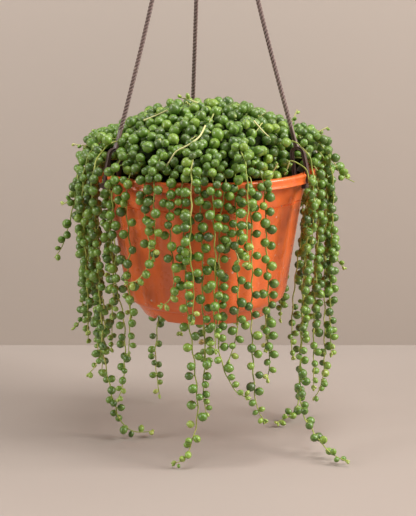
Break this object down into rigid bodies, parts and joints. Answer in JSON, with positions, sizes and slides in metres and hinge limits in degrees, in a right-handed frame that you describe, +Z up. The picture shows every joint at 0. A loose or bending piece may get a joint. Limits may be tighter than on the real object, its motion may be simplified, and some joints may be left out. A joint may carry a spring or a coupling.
{
  "type": "hanging string of pearls in a plastic pot",
  "caption": "Trailing string of pearls succulent in a tapered plastic pot with clip-on arms under a hook.",
  "frame": {"origin": "middle of the flat under the hook's crown, where the part hangs", "axes": "+Z up, from the pot to the hook; -Y towards the side that the picture shows; +X to its right"},
  "size_m": [0.2053, 0.1794, 0.4916],
  "materials": {
    "pot": "terracotta orange, moulded, slightly glossy",
    "hanger": "dark brown, moulded, satin",
    "plant": "waxy green, soft gloss",
    "soil": "dark potting mix of peat and bark, crumbly, matt"
  },
  "bodies": {
    "root": {"arm_back": "hanger", "arm_left": "hanger", "arm_right": "hanger", "back_01": "plant", "back_02": "plant", "back_03": "plant", "back_04": "plant", "back_05": "plant", "back_06": "plant", "back_07": "plant", "back_08": "plant", "back_09": "plant", "back_10": "plant", "crown": "plant", "front_01": "plant", "front_02": "plant", "front_03": "plant", "front_04": "plant", "front_05": "plant", "front_06": "plant", "front_07": "plant", "front_08": "plant", "front_09": "plant", "front_10": "plant", "front_11": "plant", "front_12": "plant", "front_13": "plant", "hook": "hanger", "left_01": "plant", "left_02": "plant", "left_03": "plant", "left_04": "plant", "left_05": "plant", "left_06": "plant", "left_07": "plant", "left_08": "plant", "left_09": "plant", "left_10": "plant", "left_11": "plant", "left_12": "plant", "left_13": "plant", "left_14": "plant", "pot": "pot", "right_01": "plant", "right_02": "plant", "right_03": "plant", "right_04": "plant", "right_05": "plant", "right_06": "plant", "right_07": "plant", "right_08": "plant", "right_09": "plant", "right_10": "plant", "right_11": "plant", "right_12": "plant", "right_13": "plant", "soil": "soil"}
  },
  "joints": []
}
